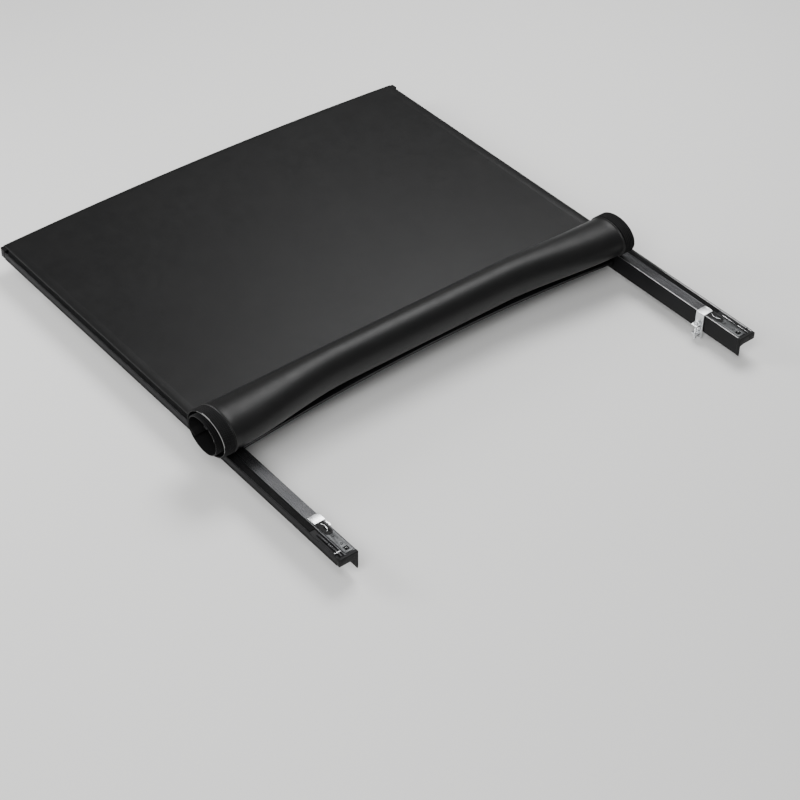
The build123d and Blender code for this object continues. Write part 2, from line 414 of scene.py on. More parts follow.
rail_coat = coated_metal("rail_coat", (0.005, 0.005, 0.0055), (0.009, 0.009, 0.010),
                         (0.20, 0.20, 0.21), (0.46, 0.60))
ledge_metal = drawn_metal("ledge_metal", 4, (11.0, 4.0, 0.6), (0.3, 0.7), (0.045, 0.045, 0.048),
                          (0.078, 0.079, 0.083), (0.24, 0.34), 0.85, 0.0003, 0.35)
# Bright drawn aluminium, used only for the painted highlight on the right rail's bead and ridge.
bead_highlight_metal = drawn_metal("bead_highlight_metal", 6, (24.0, 4.0, 0.65), (0.35, 0.65), (0.26, 0.26, 0.265),
                         (0.46, 0.46, 0.465), (0.28, 0.42), 0.9, 0.0002)


def rail_outline():
    """Cross section in mm, from the foot of the inner leg up, over and back underneath."""
    ribs = []
    x = 731.5
    while x < 759.5:
        ribs += [(x, 24), (x + 0.5, 23.45), (x + 1.5, 23.45), (x + 2.0, 24)]
        x += 3.1
    inner_bead = [(727, -38), (727, 23.6), (727.3, 24.3), (727.9, 24.8), (728.7, 24.9),
                  (729.4, 24.6), (729.9, 24)]
    channel = [(762.2, 24), (762.6, 24.6), (764.0, 24.6), (764.5, 24.0), (764.5, 20.4),
               (765.0, 20), (784.5, 20)]
    ridge = [(784.7, 20.5), (785.1, 21.8), (785.8, 23.0), (786.6, 23.8), (787.3, 24.1),
             (787.5, 23.3), (787.9, 23.3), (788.1, 24.2), (788.7, 24.1), (789.1, 23.2),
             (789.5, 18), (789.5, 2)]
    under = [(785, 2), (785, 15.6), (784, 16.5), (762.2, 16.5), (761.5, 17.2), (761.5, 21),
             (755, 21), (755, 3), (764, 3), (764, 0), (744, 0), (744, 3), (752, 3), (752, 21),
             (730, 21), (730, -38)]
    return inner_bead + ribs + channel + ridge + under


# The ledge's inner bead and the ridge's inner wall get a brighter metal on the right rail, a
# painted highlight where light catches them; on the left they keep the duller ledge metal.
RAIL_REAR, RAIL_FRONT = -0.865, 0.850
LEDGE_SPAN = (0.7300, 0.7646)
PAINTED_HIGHLIGHT_SPANS = ((0.7270, 0.7300), (0.7846, 0.7866))
right_rail = prism("rail_right", mm(rail_outline()), RAIL_REAR, RAIL_FRONT)
combined(right_rail, prism("pawl_pocket", mm([(738, -856), (752, -856), (752, -840),
                                              (738, -840)]), 0.004, 0.030, "Z"))
for rail, bead_slot in zip(dress_pair(right_rail, rail_coat, "rail_black", "side_rail"), (2, 1)):
    rail.data.materials.append(ledge_metal)
    rail.data.materials.append(bead_highlight_metal)
    for face in rail.data.polygons:
        x, y, z = face.center
        if face.normal.z < 0.2 or z < 0.0205:
            continue
        if LEDGE_SPAN[0] < abs(x) < LEDGE_SPAN[1]:
            face.material_index = 1
        elif any(low < abs(x) < high for low, high in PAINTED_HIGHLIGHT_SPANS):
            face.material_index = bead_slot


# ---------------------------------------------------------------- hook tapes
# Woven nylon hook tape is glued in each rail's channel to hold the cover's edge. The hooks
# stand in close rows on a thin ground cloth with a selvedge down both sides.

def nylon(name, dark, light, scale):
    """Matt black yarn with a loose fuzzy pile."""
    material, tree = start_material(name)
    place = stretched_place(tree)
    pile = noise(tree, place, scale, 3.0, 0.65)
    cloud = noise(tree, place, 22.0)
    colour = mix_colours(tree, ranged(tree, pile, 0.35, 0.7), dark, light)
    lint = ranged(tree, noise(tree, place, 320.0, 4.0, 0.8), 0.70, 0.80, 0.0, 0.5)
    return finish(material, Base_Color=mix_colours(tree, lint, colour, (0.04, 0.04, 0.04)),
                  Roughness=ranged(tree, cloud, 0.3, 0.7, 0.75, 0.95),
                  Normal=bump(tree, pile, 0.6, 0.0008), Specular_IOR_Level=0.15,
                  Sheen_Weight=0.04, Sheen_Roughness=0.4)


hook_nylon = nylon("hook_nylon", (0.002, 0.002, 0.002), (0.006, 0.006, 0.0065), 1500.0)


def grid(columns, rows):
    """Faces of a sheet of points, given row by row, and the points round its edge in order."""
    faces = [(r * columns + c, r * columns + c + 1, (r + 1) * columns + c + 1,
              (r + 1) * columns + c) for r in range(rows - 1) for c in range(columns - 1)]
    rim = list(range(columns)) + [r * columns + columns - 1 for r in range(1, rows)]
    rim += [(rows - 1) * columns + c for c in range(columns - 2, -1, -1)]
    rim += [r * columns for r in range(rows - 2, 0, -1)]
    return faces, rim


HOOK_ROWS, HOOK_LINES = 330, 22
HOOK_EDGE = 0.0011


def tape_strip(name, x0, x1, y0, y1, z0, z1, seed):
    """A strip whose top carries uneven rows of hooks between two flat edges."""
    chance = np.random.default_rng(seed)
    verts = []
    for y in np.linspace(y0, y1, HOOK_ROWS):
        for k, x in enumerate(np.linspace(x0, x1, HOOK_LINES)):
            hooked = HOOK_EDGE < x - x0 and HOOK_EDGE < x1 - x
            rise = z1 - chance.uniform(0, 0.0007) if hooked else z1 - 0.0013
            verts.append((x, y, rise - (0.0005 if hooked and k % 2 else 0)))
    faces, rim = grid(HOOK_LINES, HOOK_ROWS)
    top = len(verts)
    verts += [(verts[i][0], verts[i][1], z0) for i in rim]
    n = len(rim)
    faces += [(rim[i], top + i, top + (i + 1) % n, rim[(i + 1) % n]) for i in range(n)]
    faces.append(tuple(range(top, top + n)))
    return new_piece(name, verts, faces, 60)


dress_pair(tape_strip("hooks_right", 0.7655, 0.7843, -0.735, 0.845, 0.0200, 0.0226, 11),
           hook_nylon, "hook_tape", "hook_tape")


# ---------------------------------------------------------------- rail seals
# A soft extruded rubber strip is pushed under the outer wall of each rail. Its lip presses
# on the bed rail cap and keeps water out.

def rubber(name, dark, light):
    material, tree = start_material(name)
    bloom = noise(tree, stretched_place(tree), 16.0, 5.0, 0.65)
    skin = noise(tree, stretched_place(tree, (800, 60, 800)), 1.0, 2.0)
    colour = mix_colours(tree, ranged(tree, bloom, 0.35, 0.7), dark, light)
    return finish(material, Base_Color=dusted(tree, colour, 0.3, (0.07, 0.07, 0.068)),
                  Roughness=ranged(tree, bloom, 0.3, 0.7, 0.55, 0.78),
                  Normal=bump(tree, skin, 0.2, 0.0003), Specular_IOR_Level=0.22)


seal_rubber = rubber("seal_rubber", (0.004, 0.004, 0.004), (0.009, 0.009, 0.009))
seal_outline = [(776, 0.3), (777, 0), (790.4, 0), (791.3, 0.5), (791.5, 1.2), (790.6, 2.0),
                (789.7, 2.0), (777, 2.0), (776, 1.7)]
dress_pair(prism("seal_right", mm(seal_outline), RAIL_REAR, RAIL_FRONT, smooth=50),
           seal_rubber, "seal_rubber", "rail_seal")


# ---------------------------------------------------------------- rail end caps
# Moulded black plastic caps close the rails at the tailgate. Each is held by one small screw
# and has a shallow panel moulded into its outer face.

def moulded(name, dark, light):
    """Black moulded plastic with spark-eroded grain and paler, polished edges."""
    material, tree = start_material(name)
    place = stretched_place(tree)
    cells = add_node(tree, "TexVoronoi", Vector=place, Scale=1300.0).outputs["Distance"]
    cloud = noise(tree, place, 18.0, 4.0, 0.6)
    colour = mix_colours(tree, ranged(tree, cloud, 0.3, 0.7), dark, light)
    colour = rubbed(tree, colour, 0.0008, 0.5, (0.035, 0.035, 0.036))
    return finish(material, Base_Color=dusted(tree, colour, 0.12, (0.08, 0.08, 0.076)),
                  Roughness=ranged(tree, cloud, 0.3, 0.7, 0.42, 0.58),
                  Normal=bump(tree, cells, 0.35, 0.0004), Specular_IOR_Level=0.15)


cap_plastic = moulded("cap_plastic", (0.004, 0.004, 0.0045), (0.008, 0.008, 0.0085))


def around(count):
    """Even angles round a full circle."""
    return [2 * math.pi * k / count for k in range(count)]


def screw_head(name, centre, radius, height, axis="Z"):
    """A domed screw head with a hexagon socket, lying on a face that looks along axis."""
    half_flat = math.pi / 6
    rings = []
    for share, h in ((1, 0.0), (1, 0.35), (0.93, 0.68), (0.78, 0.90), (0.60, 1.0), (None, 1.0),
                     (None, 0.35)):
        ring = []
        for a in around(36):
            local = (a + half_flat) % (2 * half_flat) - half_flat
            socket = 0.48 * math.cos(half_flat) / math.cos(local)
            reach = radius * (share or socket)
            ring.append((reach * math.cos(a), reach * math.sin(a), h * height))
        rings.append(ring)
    head = lofted(name, rings, 40)
    angle, about = {"Z": (0, "X"), "-Y": (90, "X"), "Y": (-90, "X"), "X": (90, "Y"),
                    "-X": (-90, "Y")}[axis]
    turn = Matrix.Rotation(math.radians(angle), 4, about)
    head.data.transform(Matrix.Translation(centre) @ turn)
    return head


def block(name, x0, x1, y0, y1, z0, z1, round_by=0.0005, segments=2):
    """A solid bar with rounded edges; sizes in mm."""
    outline = mm([(x0, y0), (x1, y0), (x1, y1), (x0, y1)])
    return softened(prism(name, outline, z0 / 1000, z1 / 1000, "Z"), round_by, segments)


cap_outline = [(726, -39), (731, -39), (731, -4), (744, 0), (790.5, 0), (790.5, 21),
               (787.5, 24.8), (726, 25)]
cap_body = softened(prism("cap_body", mm(cap_outline), -0.8765, RAIL_REAR), 0.0022, 4)
cap_panel = block("cap_panel", 766, 785, -877, -874, 4, 19, 0.0008, 3)
cap_screw = screw_head("cap_screw", (0.742, -0.8762, 0.013), 0.0036, 0.0008, "-Y")
dress_pair(fused("end_cap_right", [cap_body, cap_panel, cap_screw]), cap_plastic,
           "moulded_black", "rail_end_cap")


# ---------------------------------------------------------------- striker bars
# Black steel bars lie in the rear of each channel. The side that faces the bed gets bright
# steel, a painted highlight. The sprung bolts of the tailgate bar drop into the notch when the
# cover is closed.

def bright_metal(name, dark, light, streaks, rough, metal=1.0, wear=0.3):
    """Bare or plated metal with fine tool lines in one direction."""
    material, tree = start_material(name)
    lines = noise(tree, stretched_place(tree, streaks), 1.0, 3.0, 0.6)
    cloud = noise(tree, stretched_place(tree), 34.0, 4.0, 0.6)
    colour = mix_colours(tree, ranged(tree, lines, 0.3, 0.7), dark, light)
    colour = rubbed(tree, colour, 0.0006, wear, (0.92, 0.92, 0.92))
    tarnish = ranged(tree, cloud, 0.55, 0.8, 0.0, 0.35)
    return finish(material, Base_Color=mix_colours(tree, tarnish, colour, dark),
                  Roughness=ranged(tree, cloud, 0.3, 0.7, *rough),
                  Normal=bump(tree, lines, 0.12, 0.0002), Metallic=metal)


# Bright steel: the real finish of the pawl and the cam wire, and a painted highlight on the
# strikers and the left channel stop.
ground_steel_and_highlight = bright_metal("ground_steel_and_highlight", (0.50, 0.51, 0.52), (0.74, 0.75, 0.76),
                            (700, 10, 700), (0.18, 0.32))
black_oxide = bright_metal("black_oxide", (0.012, 0.012, 0.013), (0.026, 0.026, 0.028),
                           (500, 10, 500), (0.30, 0.42), 0.6, 0.6)
striker_outline = [(-864, 20.0), (-756, 20.0), (-756, 24.6), (-803, 24.6), (-804, 21.5),
                   (-819, 21.5), (-820, 24.6), (-864, 24.6)]
striker = softened(prism("striker_right", mm(striker_outline), 0.770, 0.776, "X"), 0.0018, 4)
pair = dress_pair(striker, black_oxide, "striker_steel", "striker_bar")
# Bright steel on the faces that look towards the bed: a painted highlight.
for striker, inward in zip(pair, (-1, 1)):
    striker.data.materials.append(ground_steel_and_highlight)
    for face in striker.data.polygons:
        face.material_index = 1 if face.normal.x * inward > 0.25 else 0

# The left stop gets bright steel, a painted highlight across the end of the channel; the right one
# stays black.
stop_outline = [(765.2, 20.2), (769.6, 20.2), (769.6, 25.0), (776.4, 25.0), (776.4, 20.2),
                (784.6, 20.2), (784.6, 25.4), (765.2, 25.4)]
right_stop = prism("channel_stop_right", mm(stop_outline), -0.8472, -0.8460)
for made, surface in ((right_stop, black_oxide), (mirrored(right_stop), ground_steel_and_highlight)):
    dress(made, surface, "frame", "striker_steel")


# ---------------------------------------------------------------- latch plates
# Pressed steel plates, zinc plated and gone dull, are screwed on the rear of each ledge. An
# oval slot takes the bolt's cam and a square hole shows the pawl.

SLOT_X, SLOT_Y = 746, -763


def oval(length, width):
    """Outline, in mm, of a slot with round ends for the bolt's cam, long side along Y."""
    points, steps = [], 10
    radius = width / 2
    straight = length / 2 - radius
    for end, start in ((1, 0.0), (-1, math.pi)):
        for k in range(steps + 1):
            a = start + math.pi * k / steps
            points.append((SLOT_X + radius * math.cos(a),
                           SLOT_Y + end * straight + radius * math.sin(a)))
    return points


def round_corners(x0, x1, y0, y1, radius, steps=5):
    points = []
    for cx, cy, start in ((x1 - radius, y1 - radius, 0), (x0 + radius, y1 - radius, 90),
                          (x0 + radius, y0 + radius, 180), (x1 - radius, y0 + radius, 270)):
        for k in range(steps + 1):
            a = math.radians(start + 90 * k / steps)
            points.append((cx + radius * math.cos(a), cy + radius * math.sin(a)))
    return points


def solid_mesh(name, curve):
    """The plain mesh of a curve that has thickness. The curve itself goes."""
    shape = placed(name + "_curve", curve)
    mesh = final_mesh(shape)
    bpy.data.objects.remove(shape)
    bpy.data.curves.remove(curve)
    mesh.name = name
    return mesh


def pierced_plate(name, loops, low, high, rounding):
    """A flat plate: the first loop is its outline and the others are holes. Sizes in mm."""
    curve = bpy.data.curves.new(name, "CURVE")
    curve.dimensions = "2D"
    curve.fill_mode = "BOTH"
    curve.extrude = (high - low) / 2000 - rounding
    curve.bevel_depth = rounding
    curve.bevel_resolution = 2
    curve.offset = -rounding
    for loop in loops:
        line = curve.splines.new("POLY")
        line.points.add(len(loop) - 1)
        for point, (x, y) in zip(line.points, loop):
            point.co = (x / 1000, y / 1000, 0, 1)
        line.use_cyclic_u = True
    mesh = solid_mesh(name, curve)
    mesh.transform(Matrix.Translation((0, 0, (low + high) / 2000)))
    return smooth_piece(placed(name, cleaned(mesh, 0.00001)), 40)


dull_zinc = bright_metal("dull_zinc", (0.050, 0.052, 0.054), (0.092, 0.094, 0.096),
                         (90, 900, 900), (0.32, 0.44), 0.9, 0.3)
plate_loops = [round_corners(731.5, 761, -863, -742, 4), oval(26, 11),
               round_corners(739, 753, -855, -841, 1.5)]
right_plate = pierced_plate("latch_plate_r", plate_loops, 24.0, 26.2, 0.0005)
raised_lip = pierced_plate("slot_lip", [oval(31, 16), oval(26, 11)],
                           25.8, 27.1, 0.0004)
dress_pair(fused("strike_plate_right", [right_plate, raised_lip]), dull_zinc, "latch_steel",
           "latch_plate")

black_screw = coated_metal("black_screw", (0.010, 0.010, 0.010), (0.020, 0.020, 0.020),
                           (0.30, 0.30, 0.31), (0.30, 0.42), 0.3, 0.8, 0.1)
plate_heads = [screw_head("plate_screw", (side * 0.746, y, 0.0262), 0.0042, 0.0020)
               for side in (-1, 1) for y in (-0.790, -0.828)]
plate_screws = fused("strike_plate_screws", plate_heads, 40)
dress(plate_screws, dull_zinc, "frame", "screw_black", "latch_plate_screws")

# A black moulded guide fills the front of each plate round the slot, and a bent steel wire in
# it pushes the bolt's cam back.
GUIDE_LOW, GUIDE_HIGH = 26.15, 27.4


def guide_outline(inset):
    half = 13.2 - inset
    points = [(SLOT_X + half, -728.4 - inset), (SLOT_X - half, -728.4 - inset)]
    for k in range(17):
        a = math.pi + math.pi * k / 16
        points.append((SLOT_X + half * math.cos(a), -769 + (half * 0.94) * math.sin(a)))
    return points


def bent_wire(name, points, radius):
    """Round wire along a smooth path, in mm."""
    path = bpy.data.curves.new(name, "CURVE")
    path.dimensions = "3D"
    path.bevel_depth = radius / 1000
    path.bevel_resolution = 3
    path.resolution_u = 10
    path.use_fill_caps = True
    line = path.splines.new("NURBS")
    line.points.add(len(points) - 1)
    for point, (x, y, z) in zip(line.points, points):
        point.co = (x / 1000, y / 1000, z / 1000, 1)
    line.order_u = 3
    line.use_endpoint_u = True
    return smooth_piece(placed(name, solid_mesh(name, path)), 60)


guide_rim = pierced_plate("guide_rim", [guide_outline(0), oval(26, 11)],
                          GUIDE_LOW, GUIDE_HIGH, 0.0004)
guide_floor = pierced_plate("guide_floor", [oval(25.6, 10.6)], 24.1, 24.7, 0.0001)
dress_pair(fused("cam_guide_right", [guide_rim, guide_floor], 40), cap_plastic, "moulded_black")
wire_points = [(746.5, -735, 28.2), (741.5, -743, 28.2), (741.0, -755, 28.2),
               (744.0, -764, 28.2), (749.0, -769, 28.2)]
dress_pair(bent_wire("cam_wire_right", wire_points, 1.0), ground_steel_and_highlight, "spring_steel")


# ---------------------------------------------------------------- latch pawls
# Each square hole shows the polished nose of a small sprung pawl, which tips forward on its
# pin when the bolt is pushed home.

pawl_outline = [(-851, 12), (-842, 12), (-842, 19.0), (-844.6, 20), (-845.4, 21),
                (-845.6, 27.0), (-846.8, 28.3), (-848.4, 28.3), (-849.6, 26.8), (-849.6, 21),
                (-851, 20)]
pawl_nose = softened(prism("pawl_nose", mm(pawl_outline), 0.7438, 0.7482, "X"), 0.0009, 4)


def round_bar(name, start, end, radius):
    """A plain turned pin between two points, in metres, with small chamfers."""
    a, b = Vector(start), Vector(end)
    length = (b - a).length
    edge = min(radius * 0.2, 0.0006)
    rows = [(radius - edge, 0.0), (radius, edge), (radius, length - edge),
            (radius - edge, length)]
    bar = lofted(name, [[(r * math.cos(t), r * math.sin(t), h) for t in around(32)]
                        for r, h in rows], 40)
    turn = (b - a).to_track_quat("Z", "X").to_matrix().to_4x4()
    bar.data.transform(Matrix.Translation(a) @ turn)
    return bar


pawl_pin = round_bar("pawl_pin", (0.7395, -0.843, 0.017), (0.7515, -0.843, 0.017), 0.0015)
dress_pair(fused("pawl_right", [pawl_nose, pawl_pin]), ground_steel_and_highlight, "striker_steel",
           "latch_pawl", "latch_pawl")


# ---------------------------------------------------------------- front corners
# Moulded corner blocks join the header to the side rails. They are hollow underneath, carry
# the tension knobs and are held by two screws from the front.

corner_loop = round_corners(727, 790.4, 850.4, 876, 6)
corner_block = pierced_plate("corner_block", [corner_loop], 0, 31, 0.0015)
corner_ribs = [block("corner_rib", x, x + 3, 874.5, 876.6, 18, 29) for x in (741, 770)]
corner_recess = prism("corner_recess", mm([(731, 853), (786, 853), (786, 872), (731, 872)]),
                      -0.001, 0.0258, "Z")
combined(corner_block, corner_recess, smooth=40)
dress_pair(fused("corner_right", [corner_block] + corner_ribs), cap_plastic, "moulded_black",
           "corner_casting")

front_heads = [screw_head("front_screw", (side * x, 0.876, 0.012), 0.0036, 0.0014, "Y")
               for side in (-1, 1) for x in (0.740, 0.775)]
front_screws = fused("front_screws", front_heads, 40)
dress(front_screws, black_screw, "frame", "screw_black", "corner_screws")


# ---------------------------------------------------------------- header rail, keder and seal
# The header is a shallow arched extrusion across the front of the bed. The cover's front edge
# is a beaded keder held in its groove, and a soft bulb seal hangs below it.

HEADER_ARC = 14.569


def arch_bar(name, outline, half, radius, steps=48, smooth=35):
    """Sweep a (y, z) outline, drawn at mid width in metres, over an arch across the bed."""
    rings = []
    for k in range(steps + 1):
        x = -half + 2 * half * k / steps
        drop = radius - math.sqrt(radius * radius - x * x)
        rings.append([(x, y, z - drop) for y, z in outline])
    return lofted(name, rings, smooth)


header_mm = [(838, 39), (850, 39), (850.6, 39.6), (850.6, 48), (865.6, 48), (865.6, 39.6),
             (866.2, 39), (869.2, 39), (870, 39.8), (870, 50), (869, 51), (839.5, 51), (838, 49.5)]
header = arch_bar("header", mm(header_mm), 0.726, HEADER_ARC)
dress(header, rail_coat, "frame", "rail_black", "header_rail")

keder_mm = [(870, 42), (874, 42), (875, 43), (875, 48.6), (873.6, 50), (870, 50)]
keder = arch_bar("keder", mm(keder_mm), 0.726, HEADER_ARC, smooth=50)
dress(keder, seal_rubber, "frame", "seal_rubber", "header_keder")

bulb_mm = [(844.5 + 5.2 * math.cos(a), 34.2 + 4.2 * math.sin(a))
           for a in np.linspace(math.radians(150), math.radians(390), 18)]
bulb_mm += [(849.6, 38.9), (839.4, 38.9)]
header_bulb = arch_bar("header_bulb", mm(bulb_mm), 0.698, HEADER_ARC, smooth=50)
dress(header_bulb, seal_rubber, "frame", "seal_rubber", "header_seal")


# ---------------------------------------------------------------- tension knobs
# Fluted plastic knobs on the inboard side of each front corner draw the header forward on a
# screw and tighten the cover.

def fluted_knob(name, start, end, radius):
    steps, flutes = 96, 8
    length = abs(end - start)
    sign = 1 if end > start else -1
    rings = []
    for share, h in ((0.70, 0.0), (0.93, 0.03), (1.0, 0.12), (1.0, 0.84), (0.94, 0.97),
                     (0.72, 1.0), (0.55, 0.95), (0.5, 0.93)):
        ring = []
        for a in around(steps):
            dip = max(0.0, math.cos(flutes * a)) ** 2 * 0.13 if share > 0.9 else 0.0
            r = radius * (share - dip)
            ring.append((start + sign * h * length, r * math.cos(a), r * math.sin(a)))
        rings.append(ring)
    return lofted(name, rings, 35)


knob_grip = fluted_knob("knob_grip", 0.724, 0.706, 0.0090)
knob_grip.data.transform(Matrix.Translation((0, 0.863, 0.012)))
knob_stem = round_bar("knob_stem", (0.7235, 0.863, 0.012), (0.734, 0.863, 0.012), 0.0030)
dress_pair(fused("knob_right", [knob_grip, knob_stem]), cap_plastic, "moulded_black",
           "tension_knob", "tension_knob")


# ---------------------------------------------------------------- storage straps and buckles
# Two loops of woven webbing hang behind the header. They hold the finished roll against the
# cab, and each has a moulded cam buckle.

def webbing(name, dark, light):
    """Flat woven nylon strap: ribs across the width with a fine thread twist."""
    material, tree = start_material(name)
    place = stretched_place(tree)
    ribs = add_node(tree, "TexWave", Vector=place, Scale=300.0, Distortion=1.5)
    ribs.bands_direction = "Z"
    threads = noise(tree, place, 1200.0, 2.0, 0.6)
    height = math_node(tree, "ADD", ribs.outputs["Fac"], threads)
    return finish(material, Sheen_Weight=0.3, Normal=bump(tree, height, 0.5, 0.0005),
                  Base_Color=mix_colours(tree, ranged(tree, height, 0.4, 1.6), dark, light),
                  Roughness=ranged(tree, threads, 0.3, 0.7, 0.7, 0.9))


strap_web = webbing("strap_web", (0.006, 0.006, 0.006), (0.020, 0.020, 0.021))


def strap_loop(name, x0, x1):
    """A closed loop of webbing, a little fuller at the bottom where it hangs."""
    path = []
    steps = 64
    for k in range(steps):
        a = 2 * math.pi * k / steps
        square = (abs(math.cos(a)) ** 4 + abs(math.sin(a)) ** 4) ** -0.25
        y = 0.824 + 0.0110 * math.cos(a) * square
        z = -0.0095 + 0.0340 * math.sin(a) * square
        y += 0.0006 * math.sin(3 * a)
        path.append((y, z))
    thick = 0.0013
    verts = []
    for k in range(steps):
        y, z = path[k]
        ya, za = path[k - 1]
        yb, zb = path[(k + 1) % steps]
        out = Vector((zb - za, ya - yb)).normalized() * thick
        for x in (x0, (x0 + x1) / 2, x1):
            verts.append((x, y, z))
        for x in (x1, (x0 + x1) / 2, x0):
            verts.append((x, y - out.x, z - out.y))
    faces = [(k * 6 + i, k * 6 + (i + 1) % 6, ((k + 1) % steps) * 6 + (i + 1) % 6,
              ((k + 1) % steps) * 6 + i) for k in range(steps) for i in range(6)]
    return new_piece(name, verts, faces, 50)


STRAP_X = 0.4505
for side, sign in (("right", 1), ("left", -1)):
    strap = strap_loop("strap_" + side, sign * STRAP_X - 0.0125, sign * STRAP_X + 0.0125)
    dress(strap, strap_web, "frame", "webbing", "storage_strap_" + side)

buckle_parts = []
for sign in (-1, 1):
    middle = sign * STRAP_X * 1000
    frame_loops = [round_corners(middle - 17, middle + 17, -22, 8, 3),
                   round_corners(middle - 13, middle + 13, -19, -14, 1),
                   round_corners(middle - 13, middle + 13, 0, 5, 1)]
    plate = pierced_plate("buckle_frame", frame_loops, -2.2, 2.2, 0.0007)
    cam = pierced_plate("buckle_cam", [round_corners(middle - 12, middle + 12, -13, -1, 2)],
                        1.0, 4.4, 0.0009)
    for part in (plate, cam):
        upright = Matrix.Rotation(math.pi / 2, 4, "X")
        part.data.transform(Matrix.Translation((0, 0.8095, 0)) @ upright)
        buckle_parts.append(part)
dress(fused("buckles", buckle_parts, 40), cap_plastic, "frame", "moulded_black",
      "strap_buckles")


# ---------------------------------------------------------------- bows and hangers
# Three thin arched aluminium bows cross the bed and carry the cover. Each end sits in a
# moulded hanger on the inner leg of the rail.

BOW_ARC = 6.365
bow_coat = coated_metal("bow_coat", (0.006, 0.006, 0.0065), (0.012, 0.012, 0.013),
                        (0.30, 0.30, 0.31), (0.40, 0.55), 0.2, 0.7, 0.2)


def bow_outline(y):
    return [(y - 12, 23.0), (y - 11.4, 22.4), (y + 11.4, 22.4), (y + 12, 23.0), (y + 12, 28.6),
            (y + 11.2, 30.2), (y + 9, 31.1), (y + 4, 31.4), (y - 4, 31.4), (y - 9, 31.1),
            (y - 11.2, 30.2), (y - 12, 28.6)]


bow_rows = {"front": 490, "middle": 90, "rear": -311}
for end, y in bow_rows.items():
    bow = arch_bar("arch_" + end, mm(bow_outline(y)), 0.716, BOW_ARC, 60, 40)
    dress(bow, bow_coat, "frame", "rail_black", "bow_" + end)
    # The sloped top edges of each bow get the bare ledge metal: a painted highlight along the bow.
    bow.data.materials.append(ledge_metal)
    for face in bow.data.polygons:
        painted_highlight_edge = face.normal.z > 0.2 and abs(face.normal.y) > 0.5
        face.material_index = 1 if painted_highlight_edge else 0

hanger_parts = []
for y in bow_rows.values():
    hook = pierced_plate("hanger", [round_corners(y - 15, y + 15, -24, -3, 3)], -4.6, 4.6,
                         0.001)
    hook.data.transform(Matrix(((0, 0, 1, 0.7222), (1, 0, 0, 0), (0, 1, 0, 0), (0, 0, 0, 1))))
    rivets = [screw_head("hanger_rivet", (0.7176, (y + s * 9.5) / 1000, -0.019), 0.0026,
                         0.0009, "-X") for s in (-1, 1)]
    right_hanger = fused("hanger_right", [hook] + rivets, 40)
    hanger_parts += [right_hanger, mirrored(right_hanger)]
dress(fused("bow_hangers", hanger_parts, 40), cap_plastic, "frame", "moulded_black",
      "bow_end_plugs")


# ---------------------------------------------------------------- clamps
# Six cast and machined aluminium clamps hold the rails to the bed. Each hooks over the ledge,
# and a bolt draws its jaw up under the flange of the bed rail.

clamp_alloy = bright_metal("clamp_alloy", (0.66, 0.67, 0.68), (0.86, 0.87, 0.88),
                           (60, 900, 700), (0.26, 0.42))
bolt_zinc = bright_metal("bolt_zinc", (0.48, 0.49, 0.50), (0.72, 0.73, 0.74),
                         (500, 500, 40), (0.24, 0.38))
clamp_rows = {"front": 700.0, "middle": -5.0, "rear": -711.0}
BOLT_X = 710.0


def bracket_outline():
    """Side view, x and z in mm: the flat top, the outer bend and the tall inboard plate."""
    bend = [(722 + 1.8 - 1.8 * math.cos(a), 25.4 + 1.8 * math.sin(a))
            for a in np.linspace(0, math.pi / 2, 7)]
    return ([(760.5, 24.0), (760.5, 26.4), (759.8, 27.2)] + bend[::-1]
            + [(722, -59), (722.8, -62), (725.6, -62), (725.6, 24.0)])


def clamp_bracket(name, y):
    shell = softened(prism(name, mm(bracket_outline()), (y - 16) / 1000, (y + 16) / 1000),
                     0.0006, 3)
    combined(shell, block("jaw_slot", 720, 728, y - 9.2, y + 9.2, -58, -42.3, 0.001, 3))
    ear = pierced_plate("ear", [round_corners(700, 723, y - 12, y + 12, 4),
                                [(BOLT_X + 4.3 * math.cos(a), y + 4.3 * math.sin(a))
                                 for a in around(24)]], -14, -10, 0.0005)
    gussets = [prism("gusset", mm([(722.5, -24), (722.5, -13.5), (709, -13.5)]),
                     (y + low) / 1000, (y + low + 3) / 1000) for low in (-12, 9)]
    stop = screw_head("stop_pin", (0.7220, (y + 8) / 1000, 0.004), 0.0034, 0.0016, "-X")
    ridge = block("grip_ridge", 757.4, 759.8, y - 13, y + 13, 26.8, 28.2)
    return fused(name, [shell, ear] + gussets + [stop, ridge])


def clamp_jaw(name, y):
    teeth = []
    x = 730.0
    while x < 757:
        teeth += [(x, -42.5), (x + 1.6, -43.2)]
        x += 3.2
    outline = [(702, -46.0), (702, -43.1), (702.6, -42.5)] + teeth + [
        (758.6, -42.5), (759.4, -39.6), (760.2, -39.0), (764.2, -39.0), (765, -39.8), (765, -45.6),
        (763.8, -47.0), (703, -47.0)]
    arm = softened(prism(name, mm(outline), (y - 9) / 1000, (y + 9) / 1000), 0.0004)
    x, y = BOLT_X / 1000, y / 1000
    bore = round_bar("bore", (x, y, -0.070), (x, y, -0.030), 0.00408)
    boss = round_bar("boss", (x, y, -0.0535), (x, y, -0.0465), 0.0075)
    combined(arm, boss, "UNION")
    return combined(arm, bore)


